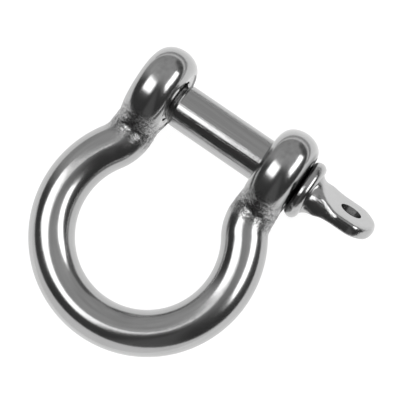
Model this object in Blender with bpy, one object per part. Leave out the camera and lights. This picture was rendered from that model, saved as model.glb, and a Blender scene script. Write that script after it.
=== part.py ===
"""Screw-pin bow shackle of the 10 mm size, in stainless steel.

Two pieces: the bow, whose two eyes end a round bar, and the screw pin that closes the jaw.
Both are drawn about the pin's axis, which lies along X with the pin's tab at +X. The crown of
the bow points towards -Y. The placing empty then lays the whole shackle down on Z = 0, resting
on both eyes and on the crown.
"""
import math

import bmesh
import bpy
from mathutils import Matrix, Vector

MM = 0.001

# Bow: a round bar bent to a ring, with a reverse bend below each eye.
BAR_RADIUS = 5.1 * MM
CROWN_RADIUS = 21.05 * MM
CROWN_CENTRE_Y = -27.6 * MM
EYE_X = 16.05 * MM
NECK_BEND_RADIUS = 8.8 * MM

# Eyes: the bar's end forged to a thick disc with a domed rim, a little egg-shaped towards the
# bar, then bored along X. A soft hollow joins each eye to the bar.
EYE_RADIUS = 10.3 * MM
EYE_HALF_THICKNESS = 4.68 * MM
EYE_HALF_DEPTH = 10.43 * MM
EYE_BULGE_Y = 1.6 * MM
EYE_TAIL = 13.0 * MM
EYE_CAP = 3.5 * MM
BAR_THINS_FROM_Y = -12.0 * MM
BAR_THINS_OVER = 8.0 * MM
NECK_BLEND = 2.4 * MM
SMALLEST_BLEND = 0.01 * MM
EYE_FACE_CUT = 0.25 * MM
SPOT_FACE_RADIUS = 7.2 * MM
PLAIN_BORE_RADIUS = 5.4 * MM
PLAIN_BORE_CHAMFER = 0.6 * MM
BORE_OVERRUN = 8.0 * MM

# Thread: 1.5 mm pitch. The tapped eye is opened up so that the pin can slide straight through.
PITCH = 1.5 * MM
THREAD_TURNS = 5
THREAD_CREST_RADIUS = 4.85 * MM
THREAD_CREST_WIDTH = 0.2 * MM
THREAD_ROOT_RADIUS = 4.1 * MM
THREAD_ROOT_WIDTH = 1.38 * MM
THREAD_SINK = 0.3 * MM
TAPPED_TURNS = 9
TAPPED_RIDGE_RADIUS = 5.15 * MM
TAPPED_RIDGE_WIDTH = 1.3 * MM
TAPPED_GROOVE_RADIUS = 5.5 * MM
TAPPED_GROOVE_WIDTH = 0.3 * MM
TAPPED_SINK = 0.4 * MM
TAPPED_LEAD_IN = 1.4 * PITCH
TAPPED_CHAMFER = 0.45 * MM

# Pin: shank, collar and tab in one piece.
SHANK_RADIUS = 5.0 * MM
SHANK_SHOULDER_X = -9.7 * MM
SHOULDER_LENGTH = 1.2 * MM
SHOULDER_FIRST_STEP = 0.3
TIP_CHAMFER = 0.7 * MM
TIP_INSET = 0.3 * MM
SEAT_GAP = 0.3 * MM
CREASE = 0.03 * MM
COLLAR_RADIUS = 6.85 * MM
COLLAR_THICKNESS = 3.3 * MM
NECK_RADIUS = 4.9 * MM
TAB_HALF_WIDTH = 7.05 * MM
TAB_HALF_THICKNESS = 1.43 * MM
TAB_EDGE_RADIUS = 0.5 * MM
TAB_FLARE_END_X = 31.5 * MM
TAB_SHOULDER_X = 34.3 * MM
TAB_TIP_X = 39.5 * MM
TAB_OFFSET = 0.5 * MM
TAB_TURN = math.radians(66.4)
TAB_HOLE_X = 33.1 * MM
TAB_HOLE_RADIUS = 2.5 * MM
TAB_HOLE_CUTTER_LENGTH = 12.0 * MM

# Facets.
BAR_SIDES = 32
EYE_STEPS = 24
BEND_STEPS = 6
CROWN_STEPS = 20
PIN_SIDES = 32
LATHE_SIDES = 48
THREAD_STEPS = 24
BISECTIONS = 24


def clear_scene():
    """Remove the objects that the file opened with."""
    for item in list(bpy.data.objects):
        bpy.data.objects.remove(item, do_unlink=True)


def steel(name, colour, roughness):
    """A bare metal material."""
    material = bpy.data.materials.new(name)
    material.use_nodes = True
    shader = material.node_tree.nodes["Principled BSDF"]
    shader.inputs["Base Color"].default_value = (*colour, 1.0)
    shader.inputs["Metallic"].default_value = 1.0
    shader.inputs["Roughness"].default_value = roughness
    return material


def finish_object(name, bm, material=None):
    """Turn a bmesh into a named, smooth-shaded object with its faces pointing out."""
    bmesh.ops.recalc_face_normals(bm, faces=bm.faces)
    mesh = bpy.data.meshes.new(name)
    bm.to_mesh(mesh)
    bm.free()
    mesh.shade_smooth()
    mesh.set_sharp_from_angle(angle=math.radians(35))
    if material:
        mesh.materials.append(material)
    item = bpy.data.objects.new(name, mesh)
    bpy.context.scene.collection.objects.link(item)
    return item


def make_cutter(item):
    """Mark an object as a tool that is no part of the model."""
    item.hide_render = True
    item.display_type = "WIRE"
    return item


def boolean(target, tool, operation):
    """Add or take away another solid."""
    modifier = target.modifiers.new(tool.name, "BOOLEAN")
    modifier.operation = operation
    modifier.solver = "EXACT"
    modifier.object = tool


def smooth_step(value):
    """Ease from 0 to 1 with level ends."""
    value = min(max(value, 0.0), 1.0)
    return value * value * (3.0 - 2.0 * value)


def bridge(bm, rings):
    """Join neighbouring section rings with faces and close both ends."""
    for first, second in zip(rings, rings[1:]):
        bmesh.ops.bridge_loops(bm, edges=first + second)
    for ring in (rings[0], rings[-1]):
        bmesh.ops.contextual_create(bm, geom=ring)


def eye_depth(y):
    """Half the eye's depth at height y: egg-shaped, its long end running out into the bar."""
    length = EYE_RADIUS - EYE_BULGE_Y if y > EYE_BULGE_Y else EYE_TAIL
    share = (y - EYE_BULGE_Y) / length
    return EYE_HALF_DEPTH * math.sqrt(max(1 - share ** 2, 0.0))


def eye_holds(x, y, z):
    """Whether the eye fills a point: its outline shrinks from its middle to its flanks."""
    across = x / EYE_HALF_THICKNESS
    if abs(across) > 1:
        return False
    shrink = 1 - EYE_CAP / EYE_RADIUS * (1 - math.sqrt(1 - across ** 2))
    return abs(z) < shrink * eye_depth(y / shrink)


def eye_reach(angle, y):
    """How far the eye's section at height y reaches in one direction."""
    near, far = 0.0, EYE_HALF_DEPTH * 1.2
    for _ in range(BISECTIONS):
        middle = (near + far) / 2
        if eye_holds(middle * math.cos(angle), y, middle * math.sin(angle)):
            near = middle
        else:
            far = middle
    return near


def bar_reach(angle, y):
    """The same for the bar, which thins a little along the pin as it enters the eye."""
    entered = smooth_step((y - BAR_THINS_FROM_Y) / BAR_THINS_OVER)
    half = BAR_RADIUS + (EYE_HALF_THICKNESS - BAR_RADIUS) * entered
    return 1 / math.hypot(math.cos(angle) / half, math.sin(angle) / BAR_RADIUS)


def reach(angle, y):
    """Eye and bar together, with a soft hollow where one runs into the other."""
    if y < EYE_BULGE_Y - EYE_TAIL:
        return bar_reach(angle, y)
    eye = eye_reach(angle, y)
    bar = bar_reach(angle, y) if y < 0 else 0.0
    blend = max(NECK_BLEND * math.sin(angle) ** 2, SMALLEST_BLEND)
    overlap = max(blend - abs(eye - bar), 0.0)
    return max(eye, bar) + overlap ** 2 / (4 * blend)


def ring_edges(verts):
    """The edges of a ring of vertices, each once and in a fixed order."""
    return list(dict.fromkeys(edge for vert in verts for edge in vert.link_edges))


def section_ring(bm, placing):
    """One section of eye and bar, laid out by a matrix; gives back its edges."""
    made = bmesh.ops.create_circle(bm, segments=BAR_SIDES, radius=1.0)
    for vert in made["verts"]:
        angle = math.atan2(vert.co.y, vert.co.x)
        vert.co = placing @ (vert.co * reach(angle, placing.translation.y))
    return ring_edges(made["verts"])


def half_centre_line():
    """Points and outward directions from the right eye's top to the crown's lowest point."""
    run = EYE_X + NECK_BEND_RADIUS
    join = math.acos(run / (CROWN_RADIUS + NECK_BEND_RADIUS))
    leg_end_y = CROWN_CENTRE_Y + run * math.tan(join)
    line = []
    for step in range(1, EYE_STEPS):
        y = EYE_RADIUS * math.cos(math.pi * step / EYE_STEPS)
        line.append((Vector((EYE_X, y, 0.0)), 0.0))
    bend_centre = Vector((run, leg_end_y, 0.0))
    for step in range(BEND_STEPS):
        angle = join * step / BEND_STEPS
        outward = Vector((-math.cos(angle), -math.sin(angle), 0.0))
        line.append((bend_centre + outward * NECK_BEND_RADIUS, angle))
    crown_centre = Vector((0.0, CROWN_CENTRE_Y, 0.0))
    for step in range(CROWN_STEPS + 1):
        angle = join - (join + math.pi / 2) * step / CROWN_STEPS
        outward = Vector((math.cos(angle), math.sin(angle), 0.0))
        line.append((crown_centre + outward * CROWN_RADIUS, angle))
    return line


def bow_placings():
    """A matrix for each section of the bar, from the right eye over the crown to the left eye."""
    placings = []
    for point, angle in half_centre_line():
        outward = Vector((math.cos(angle), math.sin(angle), 0.0))
        along = Vector((-math.sin(angle), math.cos(angle), 0.0))
        placing = Matrix((outward, (0.0, 0.0, 1.0), along)).transposed().to_4x4()
        placing.translation = point
        placings.append(placing)
    mirror = Matrix.Scale(-1.0, 4, (1.0, 0.0, 0.0))
    return placings + [mirror @ placing for placing in reversed(placings[:-1])]


def lathe(name, profile, sides=LATHE_SIDES):
    """A solid turned about X from (x, radius) points whose ends lie on the axis."""
    bm = bmesh.new()
    verts = [bm.verts.new((x, radius, 0.0)) for x, radius in profile]
    edges = [bm.edges.new(pair) for pair in zip(verts, verts[1:])]
    bmesh.ops.spin(bm, geom=verts + edges, axis=(1, 0, 0), cent=(0, 0, 0),
                   angle=2 * math.pi, steps=sides, use_merge=True)
    bmesh.ops.remove_doubles(bm, verts=bm.verts, dist=1e-6)
    return finish_object(name, bm)


def helical_ridge(name, start_x, turns, inner_radius, outer_radius, base_width, crest_width):
    """A trapezoid swept along the thread's helix."""
    bm = bmesh.new()
    corners = ((-base_width / 2, inner_radius), (-crest_width / 2, outer_radius),
               (crest_width / 2, outer_radius), (base_width / 2, inner_radius))
    face = bm.faces.new([bm.verts.new((start_x + x, radius, 0.0)) for x, radius in corners])
    steps = THREAD_STEPS * turns
    bmesh.ops.spin(bm, geom=[face], axis=(1, 0, 0), cent=(0, 0, 0), dvec=(PITCH / THREAD_STEPS, 0, 0),
                   angle=2 * math.pi * turns, steps=steps)
    open_edges = [edge for edge in bm.edges if edge.is_boundary]
    if open_edges:
        bmesh.ops.holes_fill(bm, edges=open_edges)
    return finish_object(name, bm)


def bore_cutter():
    """Plain bore, tapping bore, their chamfers and the four flats around them, on one axis."""
    inner_face = EYE_X - EYE_HALF_THICKNESS + EYE_FACE_CUT
    outer_face = EYE_X + EYE_HALF_THICKNESS - EYE_FACE_CUT
    beyond = outer_face + BORE_OVERRUN
    tapped = TAPPED_RIDGE_RADIUS
    plain = PLAIN_BORE_RADIUS
    profile = [
        (-beyond, 0.0), (-beyond, SPOT_FACE_RADIUS), (-outer_face, SPOT_FACE_RADIUS),
        (-outer_face, tapped + TAPPED_CHAMFER), (-outer_face + TAPPED_CHAMFER, tapped),
        (-inner_face - TAPPED_CHAMFER, tapped), (-inner_face, tapped + TAPPED_CHAMFER),
        (-inner_face, SPOT_FACE_RADIUS), (inner_face, SPOT_FACE_RADIUS),
        (inner_face, plain + PLAIN_BORE_CHAMFER), (inner_face + PLAIN_BORE_CHAMFER, plain),
        (outer_face - PLAIN_BORE_CHAMFER, plain), (outer_face, plain + PLAIN_BORE_CHAMFER),
        (outer_face, SPOT_FACE_RADIUS), (beyond, SPOT_FACE_RADIUS), (beyond, 0.0),
    ]
    return make_cutter(lathe("bore_cutter", profile))


def tapping_cutter():
    """The helical groove of the tapped eye."""
    start = -EYE_X - EYE_HALF_THICKNESS - TAPPED_LEAD_IN
    return make_cutter(helical_ridge("tapping_cutter", start, TAPPED_TURNS,
                                     TAPPED_RIDGE_RADIUS - TAPPED_SINK, TAPPED_GROOVE_RADIUS,
                                     TAPPED_RIDGE_WIDTH, TAPPED_GROOVE_WIDTH))


def make_bow(material):
    """Sweep the bar, then bore, face and tap its eyes."""
    bm = bmesh.new()
    rings = [section_ring(bm, placing) for placing in bow_placings()]
    bridge(bm, rings)
    bow = finish_object("shackle_bow", bm, material)
    tools = [bore_cutter(), tapping_cutter()]
    for tool in tools:
        boolean(bow, tool, "DIFFERENCE")
    return bow, tools


def collar_stations(start_x):
    """Round-rimmed collar as (x, radius) points."""
    half = COLLAR_THICKNESS / 2
    centre_radius = COLLAR_RADIUS - half
    points = []
    for step in range(9):
        angle = math.pi * step / 8
        points.append((start_x + half - half * math.cos(angle), centre_radius + half * math.sin(angle)))
    return points


def tab_stations(start_x):
    """Sections from the round neck to the tab's end: x, half width, half thickness, corner, offset."""
    flare_run = TAB_FLARE_END_X - start_x
    flare_drop = NECK_RADIUS - TAB_HALF_THICKNESS
    flare_radius = (flare_run ** 2 + flare_drop ** 2) / (2 * flare_drop)
    stations = []
    for step in range(10):
        x = start_x + flare_run * step / 9
        left = TAB_FLARE_END_X - x
        thickness = TAB_HALF_THICKNESS + flare_radius - math.sqrt(flare_radius ** 2 - left ** 2)
        width = NECK_RADIUS + (TAB_HALF_WIDTH - NECK_RADIUS) * smooth_step(step / 9)
        corner = NECK_RADIUS + (TAB_EDGE_RADIUS - NECK_RADIUS) * smooth_step(step / 4)
        stations.append((x, width, thickness, min(corner, thickness), TAB_OFFSET * smooth_step(step / 6)))
    end_length = TAB_TIP_X - TAB_SHOULDER_X
    for degrees in (0, 15, 30, 45, 58, 70, 81):
        x = TAB_SHOULDER_X + end_length * math.sin(math.radians(degrees))
        width = TAB_HALF_WIDTH * math.cos(math.radians(degrees))
        stations.append((x, width, TAB_HALF_THICKNESS, TAB_EDGE_RADIUS, TAB_OFFSET))
    stations.append((TAB_TIP_X, TAB_EDGE_RADIUS, TAB_HALF_THICKNESS, TAB_EDGE_RADIUS, TAB_OFFSET))
    return stations


def pin_stations():
    """Every section of the pin from its threaded tip to the end of its tab."""
    seat_x = EYE_X + EYE_HALF_THICKNESS - EYE_FACE_CUT + SEAT_GAP
    tip_x = -EYE_X - EYE_HALF_THICKNESS + TIP_INSET
    root = THREAD_ROOT_RADIUS
    profile = [(tip_x, root - TIP_CHAMFER), (tip_x + TIP_CHAMFER, root)]
    profile.append((SHANK_SHOULDER_X - SHOULDER_LENGTH - CREASE, root))
    for degrees in (0, 30, 60, 90):
        angle = math.radians(degrees)
        rise = SHOULDER_FIRST_STEP + (1 - SHOULDER_FIRST_STEP) * math.sin(angle)
        profile.append((SHANK_SHOULDER_X - SHOULDER_LENGTH * math.cos(angle),
                        root + (SHANK_RADIUS - root) * rise))
    profile.append((seat_x - CREASE, SHANK_RADIUS))
    profile += collar_stations(seat_x)
    stations = [(x, radius, radius, radius, 0.0) for x, radius in profile]
    return stations + tab_stations(seat_x + COLLAR_THICKNESS + CREASE)


def pin_ring(bm, station):
    """A round-cornered section across the pin, its wide side in the tab's plane."""
    x, width, thickness, corner, offset = station
    half_step = math.pi / PIN_SIDES
    turn = Matrix.Rotation(half_step, 4, "Z")
    made = bmesh.ops.create_circle(bm, segments=PIN_SIDES, radius=corner, matrix=turn)
    for vert in made["verts"]:
        across = vert.co.x + math.copysign(width - corner, vert.co.x)
        through = vert.co.y + math.copysign(thickness - corner, vert.co.y) + offset
        vert.co = (x, through, across)
    return ring_edges(made["verts"])


def tab_hole_cutter():
    """The hole through the tab, square to its faces."""
    bm = bmesh.new()
    placing = Matrix.Translation((TAB_HOLE_X, TAB_OFFSET, 0.0)) @ Matrix.Rotation(math.pi / 2, 4, "X")
    bmesh.ops.create_cone(bm, cap_ends=True, segments=32, radius1=TAB_HOLE_RADIUS,
                          radius2=TAB_HOLE_RADIUS, depth=TAB_HOLE_CUTTER_LENGTH, matrix=placing)
    return make_cutter(finish_object("tab_hole_cutter", bm))


def make_pin(material):
    """Loft the pin, then add its thread and cut the hole in its tab."""
    bm = bmesh.new()
    rings = [pin_ring(bm, station) for station in pin_stations()]
    bridge(bm, rings)
    pin = finish_object("screw_pin", bm, material)
    start = -EYE_X - EYE_HALF_THICKNESS + TIP_INSET + TIP_CHAMFER + PITCH / 2
    ridge = make_cutter(helical_ridge("thread_ridge", start, THREAD_TURNS,
                                      THREAD_ROOT_RADIUS - THREAD_SINK, THREAD_CREST_RADIUS,
                                      THREAD_ROOT_WIDTH, THREAD_CREST_WIDTH))
    hole = tab_hole_cutter()
    boolean(pin, ridge, "UNION")
    boolean(pin, hole, "DIFFERENCE")
    return pin, [ridge, hole]


def lay_down(bow_parts, pin_parts):
    """Rest the eyes and the crown on Z = 0, centred over the origin."""
    crown_reach = CROWN_RADIUS - CROWN_CENTRE_Y
    tilt = math.asin((EYE_RADIUS - BAR_RADIUS) / crown_reach)
    crown_x = CROWN_RADIUS + BAR_RADIUS
    low_y = -crown_reach * math.cos(tilt) - BAR_RADIUS
    centre_x = (TAB_TIP_X - crown_x) / 2
    centre_y = (EYE_RADIUS + low_y) / 2
    pin_axis = bpy.data.objects.new("pin_axis", None)
    pin_axis.location = (-centre_x, -centre_y, EYE_RADIUS)
    pin_axis.rotation_euler = (tilt, 0.0, 0.0)
    bpy.context.scene.collection.objects.link(pin_axis)
    for part in bow_parts + pin_parts:
        part.parent = pin_axis
    for part in pin_parts:
        part.rotation_euler = (math.pi / 2 - TAB_TURN, 0.0, 0.0)


def main():
    """Build both pieces and lay the shackle down."""
    clear_scene()
    bow, bow_tools = make_bow(steel("polished_bow", (0.62, 0.62, 0.62), 0.12))
    pin, pin_tools = make_pin(steel("polished_pin", (0.60, 0.60, 0.60), 0.18))
    lay_down([bow] + bow_tools, [pin] + pin_tools)


main()
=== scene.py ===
"""Bow shackle in polished stainless steel, lying on a pale table and seen from above."""
import math

import bmesh
import bpy
from mathutils import Matrix, Vector, noise


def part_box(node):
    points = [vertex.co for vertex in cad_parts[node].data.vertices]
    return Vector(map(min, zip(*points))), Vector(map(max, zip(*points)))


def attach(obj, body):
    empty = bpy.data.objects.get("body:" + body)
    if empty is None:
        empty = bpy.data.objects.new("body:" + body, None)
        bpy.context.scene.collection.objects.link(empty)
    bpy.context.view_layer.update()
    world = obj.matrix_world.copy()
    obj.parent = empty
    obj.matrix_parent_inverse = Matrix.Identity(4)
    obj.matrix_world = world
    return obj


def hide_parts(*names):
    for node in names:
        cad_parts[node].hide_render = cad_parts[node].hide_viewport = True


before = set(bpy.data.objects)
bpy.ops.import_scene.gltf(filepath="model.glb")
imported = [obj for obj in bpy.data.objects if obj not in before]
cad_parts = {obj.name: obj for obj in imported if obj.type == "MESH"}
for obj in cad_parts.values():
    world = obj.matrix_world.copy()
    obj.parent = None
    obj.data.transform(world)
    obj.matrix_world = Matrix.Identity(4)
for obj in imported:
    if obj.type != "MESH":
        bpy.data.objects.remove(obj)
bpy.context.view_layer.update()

# ---------------------------------------------------------------------------------------------
# Camera: it looks down on the shackle, a little from the tab's side and from the crown's side,
# and is rolled so that the pin runs from the upper left to the lower right.

MM = 0.001
VIEW_DISTANCE = 262.35 * MM
AIM = Vector((-1.78, 7.07, 8.20)) * MM
TILT_TO_CROWN = math.radians(7.719)
TILT_TO_TAB = math.radians(6.0)
ROLL = math.radians(34.674)

camera_data = bpy.data.cameras.new("camera")
camera_data.sensor_width = 36.0
camera_data.lens = 108.6
camera_data.clip_start = 0.01
camera = bpy.data.objects.new("camera", camera_data)
bpy.context.scene.collection.objects.link(camera)
level_view = Matrix.Rotation(TILT_TO_CROWN, 3, "X") @ Matrix.Rotation(TILT_TO_TAB, 3, "Y")
towards_camera = level_view.col[2].copy()
camera_turn = (level_view @ Matrix.Rotation(ROLL, 3, "Z")).to_4x4()
camera.matrix_world = Matrix.Translation(AIM + towards_camera * VIEW_DISTANCE) @ camera_turn
bpy.context.scene.camera = camera

# ---------------------------------------------------------------------------------------------
# Bow: a 10 mm stainless bar bent to a ring, its two ends forged to thick round eyes, bored along
# the pin and tumbled to a mirror finish. The hollow below each eye keeps its rough forged skin.

BAR_RADIUS = 5.1 * MM
CROWN_RADIUS = 21.05 * MM
CROWN_CENTRE_Y = -27.6 * MM
NECK_BEND_RADIUS = 8.8 * MM
EYE_X = 16.05 * MM
EYE_RADIUS = 10.3 * MM
EYE_HALF_THICKNESS = 4.68 * MM
EYE_HALF_DEPTH = 10.43 * MM
EYE_BULGE_Y = 1.6 * MM
EYE_TAIL = 13.0 * MM
EYE_CAP = 3.5 * MM
OUTSIDE_EYE = 1.2 * EYE_HALF_DEPTH
BAR_THINS_FROM_Y = -12 * MM
BAR_THINS_OVER = 8 * MM
NECK_BLEND = 2.4 * MM
SMALLEST_BLEND = 0.01 * MM

EYE_FACE_CUT = 0.25 * MM
SPOT_FACE_RADIUS = 7.2 * MM
BORE_OVERRUN = 8 * MM
PLAIN_BORE_RADIUS = 5.4 * MM
PLAIN_MOUTH_INSIDE = 0.5 * MM
PLAIN_MOUTH_OUTSIDE = 0.7 * MM
TAPPED_RIDGE_RADIUS = 5.15 * MM
TAPPED_GROOVE_RADIUS = 5.5 * MM
TAPPED_MOUTH_INSIDE = 0.35 * MM
TAPPED_MOUTH_OUTSIDE = 0.5 * MM

PITCH = 1.5 * MM
TAP_TURNS = 9
TAP_LEAD_IN = 1.4 * PITCH
TAP_SINK = 0.4 * MM
TAP_FOOT_WIDTH = 1.3 * MM
TAP_TIP_WIDTH = 0.3 * MM

PIT_DEPTH = 0.10 * MM
PIT_WIDTH = 0.85 * MM
PITS_FROM_Y = -13.4 * MM
PITS_FADE_IN = 2.2 * MM
PITS_TO_Y = -5.9 * MM
PITS_FADE_OUT = 2 * MM
PITS_IN_MIDDLE = 0.35
PIT_SMOOTHNESS = 0.8
PIT_SHRINKING = 2.2
PIT_LAYERS = 3
PIT_SHIFT = 0.25

BAR_SIDES = 96
EYE_STEPS = 90
BEND_STEPS = 20
CROWN_STEPS = 80
BISECTIONS = 24
LATHE_SIDES = 128
MOUTH_STEPS = 6
THREAD_STEPS = 72
SMALLEST_GAP = 0.0005 * MM
SHARP_ANGLE = math.radians(30)
FULL_TURN = 2 * math.pi

# The shackle rests on both eyes and on the crown, so its own plane leans by this much.
lean = math.asin((EYE_RADIUS - BAR_RADIUS) / (CROWN_RADIUS - CROWN_CENTRE_Y))
bow_low, bow_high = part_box("shackle_bow")
pin_axis_place = Vector((bow_low.x + CROWN_RADIUS + BAR_RADIUS, bow_high.y - EYE_RADIUS, EYE_RADIUS))
pin_axis = Matrix.Translation(pin_axis_place) @ Matrix.Rotation(lean, 4, "X")


def ease(value):
    """Rise from 0 to 1 with level ends."""
    value = min(max(value, 0.0), 1.0)
    return value * value * (3.0 - 2.0 * value)


def eye_depth(y):
    """Half the eye's depth at height y: egg-shaped, its long end running out into the bar."""
    length = EYE_RADIUS - EYE_BULGE_Y if y > EYE_BULGE_Y else EYE_TAIL
    share = (y - EYE_BULGE_Y) / length
    return EYE_HALF_DEPTH * math.sqrt(max(1 - share ** 2, 0.0))


def eye_holds(x, y, z):
    """Whether the eye fills a point: its outline shrinks from its middle to its flanks."""
    across = x / EYE_HALF_THICKNESS
    if abs(across) > 1:
        return False
    shrink = 1 - EYE_CAP / EYE_RADIUS * (1 - math.sqrt(1 - across ** 2))
    return abs(z) < shrink * eye_depth(y / shrink)


def eye_reach(angle, y):
    """How far the eye's section at height y reaches in one direction."""
    near, far = 0.0, OUTSIDE_EYE
    for _ in range(BISECTIONS):
        middle = (near + far) / 2
        if eye_holds(middle * math.cos(angle), y, middle * math.sin(angle)):
            near = middle
        else:
            far = middle
    return near


def bar_reach(angle, y):
    """The same for the bar, which thins a little along the pin as it enters the eye."""
    entered = ease((y - BAR_THINS_FROM_Y) / BAR_THINS_OVER)
    half = BAR_RADIUS + (EYE_HALF_THICKNESS - BAR_RADIUS) * entered
    return 1 / math.hypot(math.cos(angle) / half, math.sin(angle) / BAR_RADIUS)


def reach(angle, y):
    """Eye and bar together, with a soft hollow where one runs into the other."""
    if y < EYE_BULGE_Y - EYE_TAIL:
        return bar_reach(angle, y)
    eye = eye_reach(angle, y)
    bar = bar_reach(angle, y) if y < 0 else 0.0
    blend = max(NECK_BLEND * math.sin(angle) ** 2, SMALLEST_BLEND)
    overlap = max(blend - abs(eye - bar), 0.0)
    return max(eye, bar) + overlap ** 2 / (4 * blend)


def half_bar_line():
    """Half the bow's centre line as (point, outward angle), from the eye's top to the crown."""
    run = EYE_X + NECK_BEND_RADIUS
    join = math.acos(run / (CROWN_RADIUS + NECK_BEND_RADIUS))
    leg_end_y = CROWN_CENTRE_Y + run * math.tan(join)
    line = []
    for step in range(1, EYE_STEPS):
        y = EYE_RADIUS * math.cos(math.pi * step / EYE_STEPS)
        line.append((Vector((EYE_X, y, 0)), 0.0))
    for step in range(BEND_STEPS):
        angle = join * step / BEND_STEPS
        outward = Vector((-math.cos(angle), -math.sin(angle), 0))
        line.append((Vector((run, leg_end_y, 0)) + outward * NECK_BEND_RADIUS, angle))
    for step in range(CROWN_STEPS + 1):
        angle = join - (join + math.pi / 2) * step / CROWN_STEPS
        outward = Vector((math.cos(angle), math.sin(angle), 0))
        line.append((Vector((0, CROWN_CENTRE_Y, 0)) + outward * CROWN_RADIUS, angle))
    return line


def bar_sections():
    """A place for each section of the bar, square to its centre line."""
    sections = []
    for point, angle in half_bar_line():
        outward = Vector((math.cos(angle), math.sin(angle), 0))
        along = Vector((-math.sin(angle), math.cos(angle), 0))
        section = Matrix((outward, (0, 0, 1), along)).transposed().to_4x4()
        section.translation = point
        sections.append(section)
    mirror = Matrix.Scale(-1, 4, (1, 0, 0))
    return sections + [mirror @ section for section in reversed(sections[:-1])]


def ring_edges(verts):
    """The edges of a ring of vertices, each once and in a fixed order."""
    return list(dict.fromkeys(edge for vert in verts for edge in vert.link_edges))


def section_ring(bm, placing):
    """One section of eye and bar; gives back its edges."""
    made = bmesh.ops.create_circle(bm, segments=BAR_SIDES, radius=1.0)
    for vert in made["verts"]:
        angle = math.atan2(vert.co.y, vert.co.x)
        vert.co = placing @ (vert.co * reach(angle, placing.translation.y))
    return ring_edges(made["verts"])


def loft(bm, rings):
    """Bridge each ring to the next and close both ends."""
    for first, second in zip(rings, rings[1:]):
        bmesh.ops.bridge_loops(bm, edges=first + second)
    for ring in (rings[0], rings[-1]):
        bmesh.ops.contextual_create(bm, geom=ring)


def turned(bm, profile):
    """Turn (x, radius) points about the pin's axis."""
    verts = [bm.verts.new((x, radius, 0)) for x, radius in profile]
    edges = [bm.edges.new(pair) for pair in zip(verts, verts[1:])]
    bmesh.ops.spin(bm, geom=verts + edges, axis=(1, 0, 0), cent=(0, 0, 0),
                   angle=FULL_TURN, steps=LATHE_SIDES, use_merge=True)
    bmesh.ops.remove_doubles(bm, verts=bm.verts, dist=SMALLEST_GAP)


def screw_ridge(bm, start_x, turns, root, crest, root_width, crest_width):
    """Sweep a flat-topped ridge along the thread's helix."""
    corners = ((-root_width / 2, root), (-crest_width / 2, crest),
               (crest_width / 2, crest), (root_width / 2, root))
    face = bm.faces.new([bm.verts.new((start_x + x, radius, 0)) for x, radius in corners])
    bmesh.ops.spin(bm, geom=[face], axis=(1, 0, 0), cent=(0, 0, 0), angle=FULL_TURN * turns,
                   steps=THREAD_STEPS * turns, dvec=(PITCH / THREAD_STEPS, 0, 0))
    open_edges = [edge for edge in bm.edges if edge.is_boundary]
    if open_edges:
        bmesh.ops.holes_fill(bm, edges=open_edges)


def object_from(bm, name, placing):
    """Store a bmesh as an object at the origin, with its place in its mesh."""
    bmesh.ops.recalc_face_normals(bm, faces=bm.faces)
    if bm.calc_volume(signed=True) < 0:
        bmesh.ops.reverse_faces(bm, faces=bm.faces)
    bm.transform(placing)
    mesh = bpy.data.meshes.new(name)
    bm.to_mesh(mesh)
    bm.free()
    item = bpy.data.objects.new(name, mesh)
    bpy.context.scene.collection.objects.link(item)
    return item


def combine(target, tool, operation):
    """Add or cut another solid for good, then throw the tool away."""
    modifier = target.modifiers.new(tool.name, "BOOLEAN")
    modifier.operation = operation
    modifier.solver = "EXACT"
    modifier.object = tool
    result = target.evaluated_get(bpy.context.evaluated_depsgraph_get())
    combined = bpy.data.meshes.new_from_object(result)
    target.modifiers.remove(modifier)
    cleaned = bmesh.new()
    cleaned.from_mesh(combined)
    bmesh.ops.remove_doubles(cleaned, verts=cleaned.verts, dist=SMALLEST_GAP)
    bmesh.ops.dissolve_degenerate(cleaned, edges=cleaned.edges, dist=SMALLEST_GAP)
    cleaned.to_mesh(combined)
    cleaned.free()
    target.data = combined
    bpy.data.objects.remove(tool)


def smooth_between_edges(item):
    """Round shading, broken where two faces meet at a sharp angle."""
    item.data.shade_smooth()
    item.data.set_sharp_from_angle(angle=SHARP_ANGLE)


def rounded_mouth(face_x, inward, bore_radius, rounding):
    """Points of a bore's rounded mouth, from the bore out to the eye's face."""
    points = []
    for step in range(MOUTH_STEPS + 1):
        angle = math.pi / 2 * step / MOUTH_STEPS
        x = face_x + inward * rounding * (1 - math.sin(angle))
        points.append((x, bore_radius + rounding * (1 - math.cos(angle))))
    return points


def bore_profile():
    """Both bores, their mouths and the flats around them, from the far left to the far right."""
    inner = EYE_X - EYE_HALF_THICKNESS + EYE_FACE_CUT
    outer = EYE_X + EYE_HALF_THICKNESS - EYE_FACE_CUT
    beyond = outer + BORE_OVERRUN
    tapped, plain, flat = TAPPED_RIDGE_RADIUS, PLAIN_BORE_RADIUS, SPOT_FACE_RADIUS
    profile = [(-beyond, 0), (-beyond, flat), (-outer, flat)]
    profile += reversed(rounded_mouth(-outer, 1, tapped, TAPPED_MOUTH_OUTSIDE))
    profile += rounded_mouth(-inner, -1, tapped, TAPPED_MOUTH_INSIDE)
    profile += [(-inner, flat), (inner, flat)]
    profile += reversed(rounded_mouth(inner, 1, plain, PLAIN_MOUTH_INSIDE))
    profile += rounded_mouth(outer, -1, plain, PLAIN_MOUTH_OUTSIDE)
    return profile + [(outer, flat), (beyond, flat), (beyond, 0)]


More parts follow.
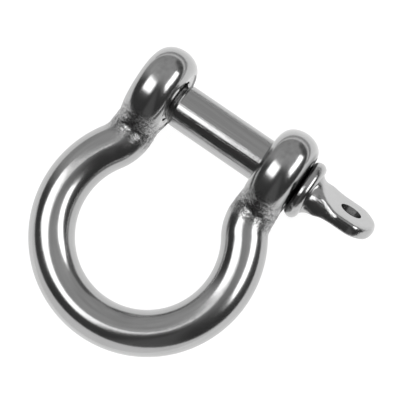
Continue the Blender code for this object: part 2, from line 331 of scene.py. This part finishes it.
def pit_necks(item):
    """Give the hollows below the eyes the uneven skin that the forging left."""
    skin = bmesh.new()
    skin.from_mesh(item.data)
    skin.normal_update()
    upright = pin_axis.inverted()
    for vert in skin.verts:
        place = upright @ vert.co
        into_hollow = ease((place.y - PITS_FROM_Y) / PITS_FADE_IN)
        up_to_eye = ease((PITS_TO_Y - place.y) / PITS_FADE_OUT)
        aside = min(abs(abs(place.x) - EYE_X) / EYE_HALF_THICKNESS, 1.0)
        rough = into_hollow * up_to_eye * (PITS_IN_MIDDLE + (1 - PITS_IN_MIDDLE) * aside)
        if rough > 0:
            dip = noise.fractal(place / PIT_WIDTH, PIT_SMOOTHNESS, PIT_SHRINKING, PIT_LAYERS) - PIT_SHIFT
            vert.co += vert.normal * (dip * rough * PIT_DEPTH)
    skin.to_mesh(item.data)
    skin.free()


bar = bmesh.new()
loft(bar, [section_ring(bar, section) for section in bar_sections()])
polished_bow = object_from(bar, "polished_bow", pin_axis)

bores = bmesh.new()
turned(bores, bore_profile())
combine(polished_bow, object_from(bores, "bores", pin_axis), "DIFFERENCE")

tap = bmesh.new()
screw_ridge(tap, -EYE_X - EYE_HALF_THICKNESS - TAP_LEAD_IN, TAP_TURNS,
            TAPPED_RIDGE_RADIUS - TAP_SINK, TAPPED_GROOVE_RADIUS, TAP_FOOT_WIDTH, TAP_TIP_WIDTH)
combine(polished_bow, object_from(tap, "tap", pin_axis), "DIFFERENCE")
pit_necks(polished_bow)
smooth_between_edges(polished_bow)


class Wire:
    """A shader value that can be written into sums: each operator adds a Math node."""

    def __init__(self, nodes, socket):
        self.nodes = nodes
        self.socket = socket

    def _math(self, operation, first, second=None):
        values = {0: first} if second is None else {0: first, 1: second}
        return self.nodes.node("ShaderNodeMath", {"operation": operation}, values)

    def __add__(self, other):
        return self._math("ADD", self, other)

    def __radd__(self, other):
        return self._math("ADD", other, self)

    def __sub__(self, other):
        return self._math("SUBTRACT", self, other)

    def __rsub__(self, other):
        return self._math("SUBTRACT", other, self)

    def __mul__(self, other):
        return self._math("MULTIPLY", self, other)

    def __rmul__(self, other):
        return self._math("MULTIPLY", other, self)

    def __pow__(self, other):
        return self._math("POWER", self, other)

    def __abs__(self):
        return self._math("ABSOLUTE", self)

    def step_from(self, start, end):
        """0 below start, 1 above end, eased in between."""
        settings = {"interpolation_type": "SMOOTHSTEP"}
        return self.nodes.node("ShaderNodeMapRange", settings, {"Value": self, 1: start, 2: end}, "Result")


class Nodes:
    """The nodes of one material or world."""

    def __init__(self, tree):
        self.tree = tree
        tree.nodes.clear()

    def node(self, kind, settings=None, values=None, output=0):
        """Add a node: its settings first, then the values or links of its sockets."""
        made = self.tree.nodes.new(kind)
        for name, value in (settings or {}).items():
            setattr(made, name, value)
        for name, value in (values or {}).items():
            if isinstance(value, Wire):
                self.tree.links.new(value.socket, made.inputs[name])
            else:
                made.inputs[name].default_value = value
        return Wire(self, made.outputs[output]) if len(made.outputs) else made

    def place(self):
        """Object coordinates as one vector."""
        return self.node("ShaderNodeTexCoord", output="Object")

    def noise(self, vector, scale, detail=2.0, roughness=0.5):
        """Fractal noise, 0 to 1 around 0.5, at a scale given per metre."""
        values = {"Vector": vector, "Scale": scale, "Detail": detail, "Roughness": roughness}
        return self.node("ShaderNodeTexNoise", values=values, output="Fac")

    def mapped(self, vector, location=(0, 0, 0), rotation=(0, 0, 0), scale=(1, 1, 1)):
        """Move, turn and stretch a pattern."""
        values = {"Vector": vector, "Location": location, "Rotation": rotation, "Scale": scale}
        return self.node("ShaderNodeMapping", {"vector_type": "TEXTURE"}, values)

    def split(self, vector):
        """The three parts of a vector."""
        parts = self.tree.nodes.new("ShaderNodeSeparateXYZ")
        self.tree.links.new(vector.socket, parts.inputs[0])
        return [Wire(self, part) for part in parts.outputs]


def new_material(name):
    """An empty node material."""
    material = bpy.data.materials.new(name)
    material.use_nodes = True
    return material, Nodes(material.node_tree)


BUMP_HEIGHT = 0.3 * MM

# Smears, grain and ripples lie all over. The hollows below the eyes are pitted and darker, partly
# as duller forged skin and partly as painted shade, and the right eye's flank gets painted shade
# where the collar sits against it.
steel, knit = new_material("polished_bow_steel")
place = knit.place()
on_pin_axis = knit.mapped(place, location=pin_axis_place, rotation=(lean, 0, 0))
along_pin, across_pin = knit.split(on_pin_axis)[:2]
smear = knit.noise(place, 140, 3)
grain = knit.noise(place, 2600, 2)
pitting = knit.noise(place, 1900, 4, 0.7)
speck = pitting.step_from(0.42, 0.58)
ripple = knit.noise(place, 260, 2)
aside = abs(abs(along_pin) - EYE_X)
past_bar = across_pin.step_from(-14.2 * MM, -11.2 * MM)
short_of_eye = 1 - across_pin.step_from(-8.5 * MM, -5.5 * MM)
hollow = past_bar * short_of_eye * (1 - aside.step_from(5.4 * MM, 6.2 * MM))
rough_skin = hollow * (0.3 + 0.7 * aside.step_from(0, 3.5 * MM))
beside_collar = 1 - (across_pin ** 2).step_from(30 * MM ** 2, 80 * MM ** 2)
# Painted shade: the right eye's outer flank is darkened around the pin where the collar sits against it.
painted_collar_shade = along_pin.step_from(19.9 * MM, 20.6 * MM) * beside_collar
relief = grain * 0.006 + ripple * 0.05 + pitting * rough_skin * 0.38
bump = knit.node("ShaderNodeBump", values={
    "Strength": 1.0,
    "Distance": BUMP_HEIGHT,
    "Height": relief,
})
roughness = 0.15 + smear * 0.06 + rough_skin * pitting * 0.12
tone = 0.45 + (smear - 0.5) * 0.08
# The hollows' darkening is partly duller forged skin and partly painted shade in the hollow, lifted back
# in random specks.
tone = tone * (1 - hollow * (0.58 - speck * 0.5)) * (1 - painted_collar_shade * 0.7)
surface = knit.node("ShaderNodeBsdfPrincipled", values={
    "Base Color": tone,
    "Metallic": 1.0,
    "Roughness": roughness,
    "Normal": bump,
})
knit.node("ShaderNodeOutputMaterial", values={"Surface": surface})
polished_bow.data.materials.clear()
polished_bow.data.materials.append(steel)

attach(polished_bow, "bow")
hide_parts("shackle_bow")

# ---------------------------------------------------------------------------------------------
# Screw pin: turned from the bar in one piece, with a rolled thread at its tip and a round-rimmed
# collar. Its tail is pressed flat to a tab for a key, drilled for a locking wire and polished.

THREAD_TURNS = 5
THREAD_CREST_RADIUS = 4.85 * MM
THREAD_CREST_WIDTH = 0.2 * MM
THREAD_ROOT_RADIUS = 4.1 * MM
THREAD_ROOT_WIDTH = 1.38 * MM
THREAD_SINK = 0.3 * MM
TIP_CHAMFER = 0.7 * MM
TIP_INSET = 0.3 * MM

SHANK_RADIUS = 5.0 * MM
SHANK_SHOULDER_X = -9.7 * MM
SHOULDER_LENGTH = 1.2 * MM
SHOULDER_FIRST_STEP = 0.3
SHOULDER_STEPS = 10
CREASE = 0.03 * MM
SEAT_GAP = 0.3 * MM
COLLAR_RADIUS = 6.85 * MM
COLLAR_THICKNESS = 3.3 * MM
COLLAR_STEPS = 24

NECK_RADIUS = 4.9 * MM
TAB_HALF_WIDTH = 7.05 * MM
TAB_HALF_THICKNESS = 1.43 * MM
TAB_WALL_BOW = 0.28 * MM
TAB_END_ROUNDING = 1.1 * MM
TAB_FLARE_END_X = 31.5 * MM
TAB_SHOULDER_X = 34.3 * MM
TAB_TIP_X = 39.5 * MM
TAB_OFFSET = 0.5 * MM
TAB_TURN = math.radians(66.4)
TAB_HOLE_X = 33.1 * MM
TAB_HOLE_RADIUS = 2.5 * MM
DRILL_LENGTH = 12 * MM
DRILL_SIDES = 96
FLAT_BY_SHARE = 1 / 2.25
OFFSET_BY_SHARE = 1 / 1.5
ROUND_SECTION = 2
TAB_CORNER = 0.13
TAB_TIP_CORNER = 0.73
FLARE_STEPS = 40
END_STEPS = 40
PIN_SIDES = 128


def pin_profile(seat_x):
    """The turned part as (x, radius): tip, thread root, shoulder, shank and collar."""
    tip_x = -EYE_X - EYE_HALF_THICKNESS + TIP_INSET
    root = THREAD_ROOT_RADIUS
    profile = [(tip_x, root - TIP_CHAMFER), (tip_x + TIP_CHAMFER, root)]
    profile.append((SHANK_SHOULDER_X - SHOULDER_LENGTH - CREASE, root))
    for step in range(SHOULDER_STEPS + 1):
        angle = math.pi / 2 * step / SHOULDER_STEPS
        rise = SHOULDER_FIRST_STEP + (1 - SHOULDER_FIRST_STEP) * math.sin(angle)
        profile.append((SHANK_SHOULDER_X - SHOULDER_LENGTH * math.cos(angle),
                        root + (SHANK_RADIUS - root) * rise))
    profile.append((seat_x - CREASE, SHANK_RADIUS))
    half = COLLAR_THICKNESS / 2
    for step in range(COLLAR_STEPS + 1):
        angle = math.pi * step / COLLAR_STEPS
        profile.append((seat_x + half - half * math.cos(angle),
                        COLLAR_RADIUS - half + half * math.sin(angle)))
    return profile


def tab_stations(start_x):
    """The tab's sections as (x, half width, half thickness, squareness, wall bow, offset)."""
    flare_run = TAB_FLARE_END_X - start_x
    flare_drop = NECK_RADIUS - TAB_HALF_THICKNESS
    flare_radius = (flare_run ** 2 + flare_drop ** 2) / (2 * flare_drop)
    stations = []
    for step in range(FLARE_STEPS + 1):
        share = step / FLARE_STEPS
        left = flare_run * (1 - share)
        thickness = TAB_HALF_THICKNESS + flare_radius - math.sqrt(flare_radius ** 2 - left ** 2)
        width = NECK_RADIUS + (TAB_HALF_WIDTH - NECK_RADIUS) * ease(share)
        flat = ease(share / FLAT_BY_SHARE)
        squareness = ROUND_SECTION / (1 - (1 - TAB_CORNER) * flat)
        stations.append((start_x + flare_run * share, width, thickness, squareness,
                         TAB_WALL_BOW * flat, TAB_OFFSET * ease(share / OFFSET_BY_SHARE)))
    for step in range(END_STEPS):
        angle = math.pi / 2 * step / END_STEPS
        x = TAB_SHOULDER_X + (TAB_TIP_X - TAB_SHOULDER_X) * math.sin(angle)
        rounded = max(1 - (TAB_TIP_X - x) / TAB_END_ROUNDING, 0)
        corner = TAB_CORNER + (TAB_TIP_CORNER - TAB_CORNER) * ease(step / END_STEPS)
        stations.append((x, TAB_HALF_WIDTH * math.cos(angle),
                         TAB_HALF_THICKNESS * math.sqrt(1 - rounded ** 2), ROUND_SECTION / corner,
                         TAB_WALL_BOW * math.cos(angle), TAB_OFFSET))
    return stations


def pin_ring(bm, station):
    """A section across the pin, round to square, its wide side in the tab's plane."""
    x, width, thickness, squareness, bow, offset = station
    half_step = Matrix.Rotation(math.pi / PIN_SIDES, 4, "Z")
    made = bmesh.ops.create_circle(bm, segments=PIN_SIDES, radius=1.0, matrix=half_step)
    for vert in made["verts"]:
        stretch = (abs(vert.co.x) ** squareness + abs(vert.co.y) ** squareness) ** (-1 / squareness)
        wide, thick = vert.co.x * stretch, vert.co.y * stretch
        across = wide * (width - bow * thick ** 2)
        vert.co = (x, thick * thickness + offset, across)
    return ring_edges(made["verts"])


seat_x = EYE_X + EYE_HALF_THICKNESS - EYE_FACE_CUT + SEAT_GAP
pin_place = pin_axis @ Matrix.Rotation(math.pi / 2 - TAB_TURN, 4, "X")
blank = bmesh.new()
stations = [(x, radius, radius, ROUND_SECTION, 0, 0) for x, radius in pin_profile(seat_x)]
stations += tab_stations(seat_x + COLLAR_THICKNESS + CREASE)
loft(blank, [pin_ring(blank, station) for station in stations])
polished_pin = object_from(blank, "polished_pin", pin_place)

ridge = bmesh.new()
screw_ridge(ridge, -EYE_X - EYE_HALF_THICKNESS + TIP_INSET + TIP_CHAMFER + PITCH / 2,
            THREAD_TURNS, THREAD_ROOT_RADIUS - THREAD_SINK, THREAD_CREST_RADIUS,
            THREAD_ROOT_WIDTH, THREAD_CREST_WIDTH)
combine(polished_pin, object_from(ridge, "thread", pin_place), "UNION")

drill = bmesh.new()
drill_place = Matrix.Translation((TAB_HOLE_X, TAB_OFFSET, 0)) @ Matrix.Rotation(math.pi / 2, 4, "X")
bmesh.ops.create_cone(drill, cap_ends=True, segments=DRILL_SIDES, radius1=TAB_HOLE_RADIUS,
                      radius2=TAB_HOLE_RADIUS, depth=DRILL_LENGTH, matrix=drill_place)
combine(polished_pin, object_from(drill, "drill", pin_place), "DIFFERENCE")
smooth_between_edges(polished_pin)

STREAK_STRETCH = 60

# Fine streaks run along the pin, and the collar's seat is darkened with painted shade where it meets the
# eye.
pin_steel, weave = new_material("polished_pin_steel")
pin_local = weave.mapped(weave.place(), location=pin_axis_place,
                         rotation=(lean + math.pi / 2 - TAB_TURN, 0, 0))
along_shank = weave.split(pin_local)[0]
# Painted shade: the base colour is darkened over the collar's seat, in the gap against the eye.
seat_start = along_shank.step_from(20.3 * MM, 20.6 * MM)
painted_seat_shade = seat_start * (1 - along_shank.step_from(21.3 * MM, 22 * MM))
streaks = weave.noise(weave.mapped(pin_local, scale=(STREAK_STRETCH, 1, 1)), 3400, 3, 0.6)
fine = weave.noise(pin_local, 2200, 3)
pin_relief = streaks * 0.11 + fine * 0.045
bump = weave.node("ShaderNodeBump", values={
    "Strength": 1.0,
    "Distance": BUMP_HEIGHT,
    "Height": pin_relief,
})
pin_surface = weave.node("ShaderNodeBsdfPrincipled", values={
    "Base Color": (0.37 + streaks * 0.15) * (1 - painted_seat_shade * 0.8),
    "Metallic": 1.0,
    "Roughness": 0.12 + streaks * 0.08,
    "Normal": bump,
})
weave.node("ShaderNodeOutputMaterial", values={"Surface": pin_surface})
polished_pin.data.materials.clear()
polished_pin.data.materials.append(pin_steel)

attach(polished_pin, "pin")
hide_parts("screw_pin")

# ---------------------------------------------------------------------------------------------
# Studio: a white table that runs off to all sides, two soft boxes, low cards beyond the crown and
# beyond the eyes, and a room that is grey on the eyes' side and dark on the crown's side.

TABLE_HALF_SIDE = 2.5
CARD_LENGTH = 0.24
WHITE_CARD_Y = -44 * MM
WHITE_CARD_TOP = 14.5 * MM
GREY_CARD_Y = 80 * MM
GREY_CARD_FOOT = 2.5 * MM
GREY_CARD_TOP = 11.5 * MM
BOX_DISTANCE = 0.6

table_mesh = bmesh.new()
bmesh.ops.create_grid(table_mesh, x_segments=1, y_segments=1, size=TABLE_HALF_SIDE)
table = object_from(table_mesh, "table", Matrix.Identity(4))
table_white, sheet = new_material("table_white")
glow = sheet.node("ShaderNodeEmission", values={"Color": (1, 1, 1, 1), "Strength": 0.93})
matt = sheet.node("ShaderNodeBsdfDiffuse", values={"Color": (0.25, 0.25, 0.25, 1)})
both = sheet.node("ShaderNodeAddShader", values={0: glow, 1: matt})
sheet.node("ShaderNodeOutputMaterial", values={"Surface": both})
table.data.materials.append(table_white)


def standing_card(name, y, low, high, glow):
    """A long card on edge across the table, out of the camera's sight but seen in the steel."""
    card_mesh = bmesh.new()
    upright = Matrix.Translation((0, y, (low + high) / 2)) @ Matrix.Rotation(math.pi / 2, 4, "X")
    bmesh.ops.create_grid(card_mesh, x_segments=1, y_segments=1, size=0.5,
                          matrix=upright @ Matrix.Diagonal((CARD_LENGTH, high - low, 1, 1)))
    card = object_from(card_mesh, name, Matrix.Identity(4))
    card_face, sheet = new_material(name)
    values = {"Color": (1, 1, 1, 1), "Strength": glow}
    face = sheet.node("ShaderNodeEmission", values=values)
    sheet.node("ShaderNodeOutputMaterial", values={"Surface": face})
    card.data.materials.append(card_face)
    card.visible_camera = False
    card.visible_shadow = False


standing_card("white_card", WHITE_CARD_Y, 0, WHITE_CARD_TOP, 0.98)
standing_card("grey_card", GREY_CARD_Y, GREY_CARD_FOOT, GREY_CARD_TOP, 0.45)
standing_card("dark_foot", GREY_CARD_Y, 0, GREY_CARD_FOOT, 0.05)

# Lamps and room are laid out along the pin and across it, both square to the line of sight.
seen_along = level_view.col[0].copy()
seen_across = level_view.col[1].copy()


def direction(along, across):
    """A world direction from its two angles off the line of sight: along the pin and across it."""
    away = math.radians(math.hypot(along, across))
    sideways = (seen_along * along + seen_across * across).normalized()
    return sideways * math.sin(away) + towards_camera * math.cos(away)


def soft_box(name, towards, width, depth, radiance, roll=0.0):
    """A rectangular lamp that faces the shackle, its width along the pin."""
    side = (seen_along - towards * seen_along.dot(towards)).normalized()
    side = Matrix.Rotation(roll, 3, towards) @ side
    lamp = bpy.data.lights.new(name, "AREA")
    lamp.shape = "RECTANGLE"
    lamp.size = width
    lamp.size_y = depth
    lamp.energy = radiance * math.pi * width * depth
    item = bpy.data.objects.new(name, lamp)
    turn = Matrix((side, towards.cross(side), towards)).transposed().to_4x4()
    item.matrix_world = Matrix.Translation(pin_axis_place + towards * BOX_DISTANCE) @ turn
    bpy.context.scene.collection.objects.link(item)


soft_box("soft_box_left", direction(-31, -12.5), width=0.42, depth=0.22, radiance=3.0)
soft_box("soft_box_right", direction(38.5, 25.5), width=0.22, depth=0.62, radiance=3.3,
         roll=math.radians(3))

world = bpy.data.worlds.new("studio")
world.use_nodes = True
bpy.context.scene.world = world
room = Nodes(world.node_tree)
outlook = room.node("ShaderNodeTexCoord", output="Generated")


def towards_of(axis):
    """How far the world's direction points along an axis."""
    values = {0: outlook, 1: tuple(axis)}
    return room.node("ShaderNodeVectorMath", {"operation": "DOT_PRODUCT"}, values, "Value")


along = towards_of(seen_along)
across = towards_of(seen_across)
behind_eyes = across.step_from(-0.18, 0.12)
tab_side = (along + across * 0.25).step_from(0.40, 0.85)
crown_wedge = along.step_from(0.0, 0.15) * (across * -1.1 - along).step_from(-0.05, 0.20)
open_side = along.step_from(-0.10, 0.06)
skyline = 1 - (towards_of((0, 0, 1)) - open_side * 0.22).step_from(0.04, 0.26)
clutter = room.noise(outlook, 4.5, 3)
dark_room = 0.054 + crown_wedge * 0.08
bright = behind_eyes * (1 - tab_side * 0.85) * (0.5 + 1.0 * clutter)
bright = bright * (1 - skyline * (0.2 + 0.6 * open_side))
light = dark_room + (0.47 - dark_room) * bright
background = room.node("ShaderNodeBackground", values={"Color": (1, 1, 1, 1), "Strength": light})
room.node("ShaderNodeOutputWorld", values={"Surface": background})

bpy.context.scene.view_settings.view_transform = "Standard"
